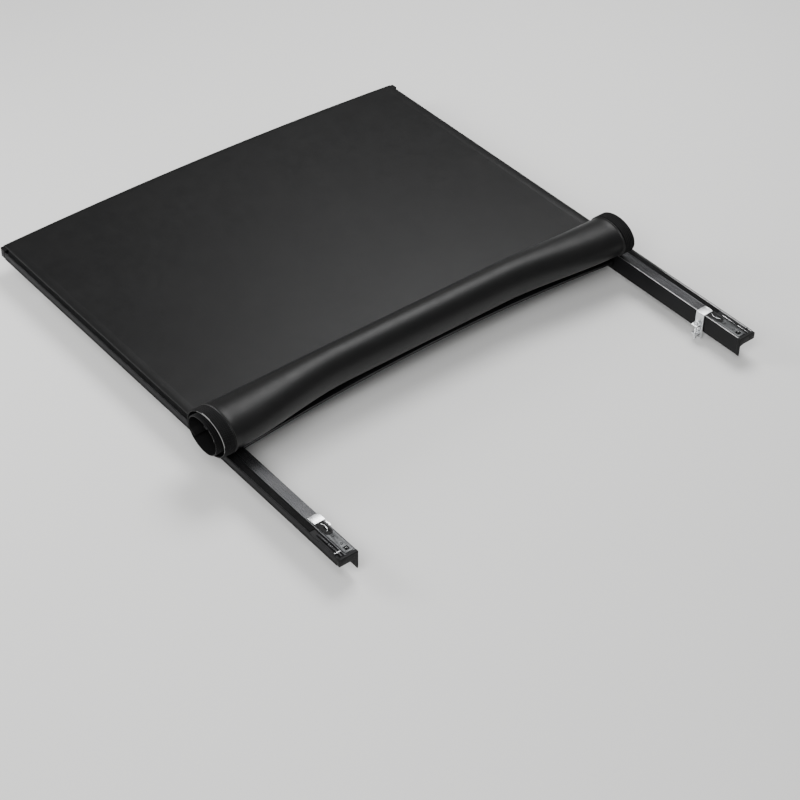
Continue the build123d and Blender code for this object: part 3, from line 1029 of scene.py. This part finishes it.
def clamp_bolt(name, x, y):
    """A hexagon bolt with a real rolled thread; x, y and sizes in mm."""
    pitch = 1.25
    low, high = -66.0, -10.0
    rows = int((high - low) / pitch * 6)
    rings = []
    for q in range(rows + 1):
        z = low + (high - low) * q / rows
        fade = min(1.0, (z - low) / 2.5, max(0.0, (-22.0 - z) / 2.0))
        ring = []
        for a in around(28):
            phase = (z / pitch - a / (2 * math.pi)) % 1.0
            cut = 0.62 * (1 - abs(2 * phase - 1)) * max(0.0, fade)
            tip = 0.5 * max(0.0, 1 - (z - low) / 1.0)
            r = 3.98 - cut - tip
            ring.append((x + r * math.cos(a), y + r * math.sin(a), z))
        rings.append(mm(ring))
    shank = lofted(name + "_shank", rings, 25)
    hexagon = [(x + 7.15 * math.cos(a), y + 7.15 * math.sin(a)) for a in around(6)]
    head = softened(prism(name, mm(hexagon), -0.0099, -0.0046, "Z"), 0.0006, 3)
    x, y = x / 1000, y / 1000
    washer = round_bar("washer_face", (x, y, -0.0048), (x, y, -0.00455), 0.0056)
    return fused(name, [shank, head, washer])


for end, y in clamp_rows.items():
    dress_pair(clamp_bracket("clamp_" + end + "_right", y), clamp_alloy, "clamp_alloy",
               "clamp_bracket_" + end)
    dress_pair(clamp_jaw("jaw_" + end + "_right", y), clamp_alloy, "clamp_alloy",
               "clamp_jaw_" + end, "clamp_jaw_" + end)
    for side, x in (("_right", BOLT_X), ("_left", -BOLT_X)):
        node = "clamp_bolt_" + end + side
        dress(clamp_bolt("bolt_" + end + side, x, y), bolt_zinc, node, "bolt_zinc", node)


# ---------------------------------------------------------------- the flat cover
# Vinyl coated polyester is stretched from the header to the roll. Its side hems are welded
# over a soft core, with loop tape under them that grips the hook tape in the rails.

def vinyl(name, dark, light):
    """Black coated fabric: fine pebbled grain over a faint weave, with soft satin patches."""
    material, tree = start_material(name)
    place = stretched_place(tree)
    cells = add_node(tree, "TexVoronoi")
    cells.feature = "SMOOTH_F1"
    feed(tree, cells.inputs["Vector"], place)
    feed(tree, cells.inputs["Scale"], 820.0)
    pebble = cells.outputs["Distance"]
    threads = []
    for direction in "XY":
        wave = add_node(tree, "TexWave", Vector=place, Scale=240.0, Distortion=0.6)
        wave.bands_direction = direction
        threads.append(wave.outputs["Fac"])
    height = math_node(tree, "ADD", product(tree, *threads, 0.35), pebble)
    cloud = noise(tree, place, 3.2, 4.0, 0.55)
    patch = noise(tree, place, 26.0, 4.0, 0.6)
    colour = mix_colours(tree, ranged(tree, cloud, 0.3, 0.7), dark, light)
    colour = mix_colours(tree, ranged(tree, pebble, 0.05, 0.45), colour, dark)
    return finish(material, Base_Color=dusted(tree, colour, 0.16, (0.03, 0.03, 0.029)),
                  Roughness=ranged(tree, patch, 0.3, 0.7, 0.40, 0.47),
                  Normal=bump(tree, height, 0.22, 0.0005), Specular_IOR_Level=0.26)


cover_vinyl = vinyl("cover_vinyl", (0.0045, 0.0045, 0.0047), (0.0075, 0.0075, 0.0077))
loop_pile = nylon("loop_pile", (0.002, 0.002, 0.0022), (0.007, 0.007, 0.0075), 1000.0)

COVER_HALF = 0.777
WELD_X, LIP_X = 0.7475, 0.7750
FRONT_EDGE = 0.8768
SHEET_LOW = 0.0320
SHEET_THICK = 0.0019
ROLL_SHIFT = -0.036
ROLL_Y = -0.285
CORE_Z = 0.0935
ROLL_R = 0.0615
INNER_R = 0.0330
LEFT_END = (-0.312, 0.0880, 0.0645)
RIGHT_END = (-0.307, 0.0790, 0.0575)
FLARE_FROM = 0.300
BAND_IN = 0.747
ROLL_HALF = 0.785


def ease(t):
    t = min(1.0, max(0.0, t))
    return t * t * (3 - 2 * t)


def flare(x):
    """How far the roll has spread, at x along it, from a circle to the wide end oval."""
    return ease((abs(x - ROLL_SHIFT) - FLARE_FROM) / (BAND_IN - FLARE_FROM))


def roll_section(x):
    """Centre y, centre z, half length and half height of the roll's outline at x."""
    f = flare(x)
    end_y, end_a, end_b = LEFT_END if x < ROLL_SHIFT else RIGHT_END
    a = ROLL_R + (end_a - ROLL_R) * f
    b = ROLL_R + (end_b - ROLL_R) * f
    return ROLL_Y + (end_y - ROLL_Y) * f, SHEET_LOW + b, a, b


def cover_height(x, y):
    """Underside of the stretched cover: crowned at the header, flat at the roll."""
    along = (y - ROLL_Y) / (FRONT_EDGE - ROLL_Y)
    across = 1 - (x / COVER_HALF) ** 2
    crown = 0.020 * max(0.0, along) * across
    slack = -0.0008 * math.sin(math.pi * min(1.0, max(0.0, along))) ** 2 * across
    ripple = 0.0
    edge = abs(x) / COVER_HALF
    if edge > 0.80:
        pull = (edge - 0.80) / 0.20
        ripple = 0.00035 * pull * math.sin(y * 41.0 + 2.2 * math.sin(y * 9.0)) * (1 - pull * 0.4)
    return SHEET_LOW + crown + slack + ripple


def closed_sheet(name, outer, under, columns):
    """A sheet from the points of its two faces, row by row, closed round its edge."""
    top = len(outer)
    faces, rim = grid(columns, top // columns)
    faces += [tuple(top + i for i in face[::-1]) for face in faces]
    n = len(rim)
    faces += [(rim[i], top + rim[i], top + rim[(i + 1) % n], rim[(i + 1) % n])
              for i in range(n)]
    return new_piece(name, outer + under, faces, 50)


def flat_cover():
    xs = sorted(set([round(v, 5) for v in np.linspace(-COVER_HALF, COVER_HALF, 97)]
                    + [s * v for s in (-1, 1) for v in (WELD_X, WELD_X + 0.0010, LIP_X,
                                                         LIP_X + 0.0012)]))
    front = FRONT_EDGE - 0.004
    outer = []
    for t in np.linspace(0.0, 1.0, 90):
        for x in xs:
            back = roll_section(x)[0] if abs(x) > 0.25 else ROLL_Y
            y = back + (front - back) * t
            weld = 0.0002 * ease((abs(x) - WELD_X) / 0.0010)
            lip = 0.0012 * ease((abs(x) - LIP_X) / 0.0020)
            outer.append((x, y, cover_height(x, y) + SHEET_THICK + weld - lip))
    under = [(x, y, z - SHEET_THICK) for x, y, z in outer]
    for drop, ahead in ((0.0008, 0.0022), (0.0026, 0.0035), (0.0075, 0.0040)):
        for x in xs:
            y = front + ahead
            z = cover_height(x, y) + SHEET_THICK - drop
            outer.append((x, y, z))
            under.append((x, y - 0.0012, z - SHEET_THICK))
    return closed_sheet("flat_cover", outer, under, len(xs))


cover = flat_cover()
dress(cover, cover_vinyl, "frame", "cover_vinyl", "cover_sheet")
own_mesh(cover)


def hem_strip(name, sign):
    """The welded hem: a soft rolled edge above, ribbed loop tape below."""
    outline = [(764.8, 23.0), (766.2, 22.8), (776.2, 22.8), (777.2, 23.4), (777.3, 25.6),
               (776.9, 26.0), (777.4, 27.0), (777.5, 30.4), (776.8, 31.9), (765.6, 31.9),
               (764.9, 31.0), (764.9, 26.4), (765.3, 26.0), (764.8, 25.4)]
    steps = 120
    y0, y1 = -0.2540, 0.8450
    rings = []
    for k in range(steps + 1):
        y = y0 + (y1 - y0) * k / steps
        swell = 0.0002 * math.sin(y * 63.0) + 0.00015 * math.sin(y * 151.0)
        rings.append([(sign * (x / 1000 + (swell if x > 770 else 0)), y, z / 1000)
                      for x, z in outline])
    return lofted(name, rings, 50)


hems = fused("hems", [hem_strip("hem_right", 1), hem_strip("hem_left", -1)], 50)
dress(hems, loop_pile, "frame", "loop_tape", "side_loop_tapes")
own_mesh(hems)


# ---------------------------------------------------------------- the roll
# The rear of the cover is rolled forward on itself, underside out. It makes a little under two
# loose turns, flares where the thick hems pile up, and shows its loop tape at both ends.

TURNS = 1.95
START = -0.25 * 2 * math.pi
WRAP_STEPS = 300


def drawn_in(turn):
    """How far the wrap has moved from the outer oval, 0, to the core, 1. The second turn lies
    close inside the first, and only its end curls in round the bar."""
    turn = max(0.0, turn)
    return 0.17 * turn ** 2 + 0.62 * ease((turn - 1.45) / 0.5) ** 2


def slipped_out(x, turn):
    """How far the inner turns have slid out past the outer one, towards the left end."""
    return 0.014 * ease((-x - 0.55) / 0.25) * ease((turn - 0.35) / 0.9)


def wrap_point(x, turn, lift):
    """A point on the wound cover. turn counts whole turns from the bottom of the outer wrap,
    and lift is a distance out from the sheet's outer face."""
    cy, cz, a, b = roll_section(x)
    angle = START - 2 * math.pi * turn
    share = drawn_in(turn)
    ca, sa = math.cos(angle), math.sin(angle)
    outer_y = cy + (a + lift) * ca
    outer_z = cz + (b + lift * 0.75) * sa
    inner_y = ROLL_Y + (INNER_R + lift) * ca
    inner_z = CORE_Z + (INNER_R + lift) * sa
    return (x - slipped_out(x, turn), outer_y + (inner_y - outer_y) * share,
            outer_z + (inner_z - outer_z) * share)


def wound_sheet(name, xs, lifts, start=0.0):
    """The wound sheet across the given x values as a closed skin. lifts gives the outer and
    the inner face's distance from the sheet's outer face, for a column and a turn."""
    turns = [start + (TURNS - start) * k / WRAP_STEPS for k in range(WRAP_STEPS + 1)]
    outer, under = [[wrap_point(x, turn, lifts(c, x, turn)[face])
                     for turn in turns for c, x in enumerate(xs)] for face in (0, 1)]
    return closed_sheet(name, outer, under, len(xs))


def vinyl_lifts(column, x, turn):
    """The sheet's two faces, with a soft raised weld where the end tape begins."""
    beyond = BAND_IN - abs(x - ROLL_SHIFT)
    raised = 0.0040 * ease(1 - abs(beyond - 0.0040) / 0.0040) * ease(turn / 0.05)
    return raised, -SHEET_THICK


half_x = [v * 0.7400 / 38 for v in range(38)]
half_x += [BAND_IN - d for d in (0.0082, 0.0070, 0.0058, 0.0048, 0.0040, 0.0032, 0.0022, 0.0012,
                                 0.0002)]
half_x += [0.7560, 0.7700, ROLL_HALF - 0.0006]
roll_x = [ROLL_SHIFT - v for v in half_x[:0:-1]] + [ROLL_SHIFT + v for v in half_x]
roll = wound_sheet("roll_wraps", roll_x, vinyl_lifts)
dress(roll, cover_vinyl, "roll_carriage", "cover_vinyl", "cover_roll")
# Pale nylon for the painted highlight on the rim of the roll's ends.
rim_highlight_nylon = nylon("rim_highlight_nylon", (0.15, 0.15, 0.15), (0.30, 0.30, 0.295), 900.0)


def paint_rim_highlight(obj):
    """A painted highlight: the cut edge of the fabric gets a pale nylon along the upper rear arc
    of each end, where light from above catches the rim, most of all on the outer turn. It reaches
    a little way onto the selvedge of the outer turn in the middle of its arc."""
    obj.data.materials.append(rim_highlight_nylon)
    for face in obj.data.polygons:
        x, y, z = face.center
        mid_y, mid_z, long_half, high_half = roll_section(x)
        across, up = (y - mid_y) / long_half, (z - mid_z) / high_half
        angle = math.degrees(math.atan2(up, across)) % 360
        outer_turn = math.hypot(across, up) > 0.92
        if abs(face.normal.x) > 0.9 and abs(x - ROLL_SHIFT) > ROLL_HALF - 0.002:
            highlighted = 62 < angle < 190 if outer_turn else 122 < angle < 160
        else:
            near_end = abs(x - ROLL_SHIFT) > ROLL_HALF - 0.0010
            highlighted = outer_turn and 78 < angle < 172 and near_end
        face.material_index = 1 if highlighted else 0


paint_rim_highlight(roll)


BAND_COLUMNS = 37
BAND_RIB = 6


def band_lifts(column, x, turn):
    """Loop tape on the outside: a flat selvedge each side of ridges that run round the roll.
    It is pressed thinner where the next turn covers it."""
    under = -SHEET_THICK if turn < 0 else 0.00002
    grow = 1 - 0.65 * ease((turn - 0.80) / 0.08)
    if column in (0, BAND_COLUMNS - 1):
        return 0.0012 * grow, under
    ridge = 0.0022 * math.sin(math.pi * (column % BAND_RIB) / BAND_RIB) ** 2
    return (0.0018 + ridge) * grow, under


band_parts = []
for low, start in ((ROLL_SHIFT - ROLL_HALF, -0.10), (ROLL_SHIFT + BAND_IN, 0.0)):
    band_x = np.linspace(low, low + ROLL_HALF - BAND_IN, BAND_COLUMNS)
    band_parts.append(wound_sheet("band", band_x, band_lifts, start))
bands = fused("end_bands", band_parts, 60)
dress(bands, loop_pile, "roll_carriage", "loop_tape", "roll_loop_tapes")
paint_rim_highlight(bands)


# ---------------------------------------------------------------- tailgate bar in the core
# A flat aluminium extrusion closes against the tailgate when the cover is shut. Rolled up, it
# lies in the core with its bulb seal, and its end plugs show at the ends of the roll.

CORE_Y_MM, CORE_Z_MM = ROLL_Y * 1000, CORE_Z * 1000
bar_outline = round_corners(CORE_Y_MM - 20, CORE_Y_MM + 20, CORE_Z_MM - 10, CORE_Z_MM + 10, 4)
BAR_HALF = 0.752
bar = prism("bar", mm(bar_outline), ROLL_SHIFT - BAR_HALF, ROLL_SHIFT + BAR_HALF, "X", 40)
dress(bar, rail_coat, "bar_core", "rail_black", "tailgate_bar")

seal_pts = [(CORE_Y_MM - 9 + 4.7 * math.cos(a), CORE_Z_MM + 13.6 + 4.2 * math.sin(a))
            for a in np.linspace(math.radians(-50), math.radians(230), 20)]
bar_bulb = prism("bar_bulb", mm(seal_pts), ROLL_SHIFT - 0.740, ROLL_SHIFT + 0.740, "X", 50)
dress(bar_bulb, seal_rubber, "bar_core", "seal_rubber", "tailgate_seal")
plug_loops = [round_corners(CORE_Y_MM - 23, CORE_Y_MM + 23, CORE_Z_MM - 12.5,
                            CORE_Z_MM + 12.5, 7, 7),
              round_corners(CORE_Y_MM - 9.2, CORE_Y_MM + 9.2, CORE_Z_MM - 4.2, CORE_Z_MM + 4.2,
                            0.6)]
flange = pierced_plate("plug_flange", plug_loops, -5, 5, 0.0012)
flange.data.transform(Matrix(((0, 0, 1, 0.757), (1, 0, 0, 0), (0, 1, 0, 0), (0, 0, 0, 1))))
plug_screws = [screw_head("plug_screw", (0.7618, ROLL_Y + s * 0.0155, CORE_Z), 0.0034, 0.0012,
                          "X") for s in (-1, 1)]
plug_right = fused("plug_right", [flange] + plug_screws, 40)
plugs = fused("bar_plugs", [plug_right, mirrored(plug_right)], 40)
plugs.data.transform(Matrix.Translation((ROLL_SHIFT, 0, 0)))
dress(plugs, cap_plastic, "bar_core", "moulded_black", "bar_end_plugs")


# ---------------------------------------------------------------- latch bolts and springs
# A sprung bolt slides in each plug. It has a ramped nose so that the closing bar can be
# slammed, and a coil spring behind it pushes it out.

bolt_outline = [(716, -9), (768.6, -9), (772, -6.2), (772, 6.2), (768.6, 9), (716, 9)]
bolt_points = mm([(x, y + CORE_Y_MM) for x, y in bolt_outline])
right_bolt = softened(prism("slam_bolt_right", bolt_points, CORE_Z - 0.004, CORE_Z + 0.004,
                            "Z"), 0.0006, 3)
left_bolt = mirrored(right_bolt)


def coil(name, x0, x1, radius, wire_r, turns):
    """A compression spring with closed ends, swept as a tube; sizes in metres."""
    steps = int(turns * 20)
    rings = []
    for k in range(steps + 1):
        t = k / steps
        x = x0 + wire_r + (x1 - x0 - 2 * wire_r) * (0.25 * t + 0.75 * ease(t))
        a = 2 * math.pi * turns * t
        ring = []
        for b in around(10):
            r = radius + wire_r * math.cos(b)
            ring.append((x + wire_r * math.sin(b), ROLL_Y + r * math.cos(a),
                         CORE_Z + r * math.sin(a)))
        rings.append(ring)
    return lofted(name, rings, 60)


spring_wire = bright_metal("spring_wire", (0.32, 0.33, 0.34), (0.52, 0.53, 0.54),
                           (300, 300, 300), (0.25, 0.4))
for side, bolt, sign in (("right", right_bolt, 1), ("left", left_bolt, -1)):
    bolt.data.transform(Matrix.Translation((ROLL_SHIFT, 0, 0)))
    dress(bolt, black_oxide, "latch_hook_" + side, "striker_steel", "latch_hook_" + side)
    low, high = (0.684, 0.7157) if sign > 0 else (-0.7157, -0.684)
    spring = coil("coil_" + side, ROLL_SHIFT + low, ROLL_SHIFT + high, 0.0043, 0.0006, 7.5)
    dress(spring, spring_wire, "bar_core", "spring_steel", "latch_spring_" + side)
    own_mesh(spring)
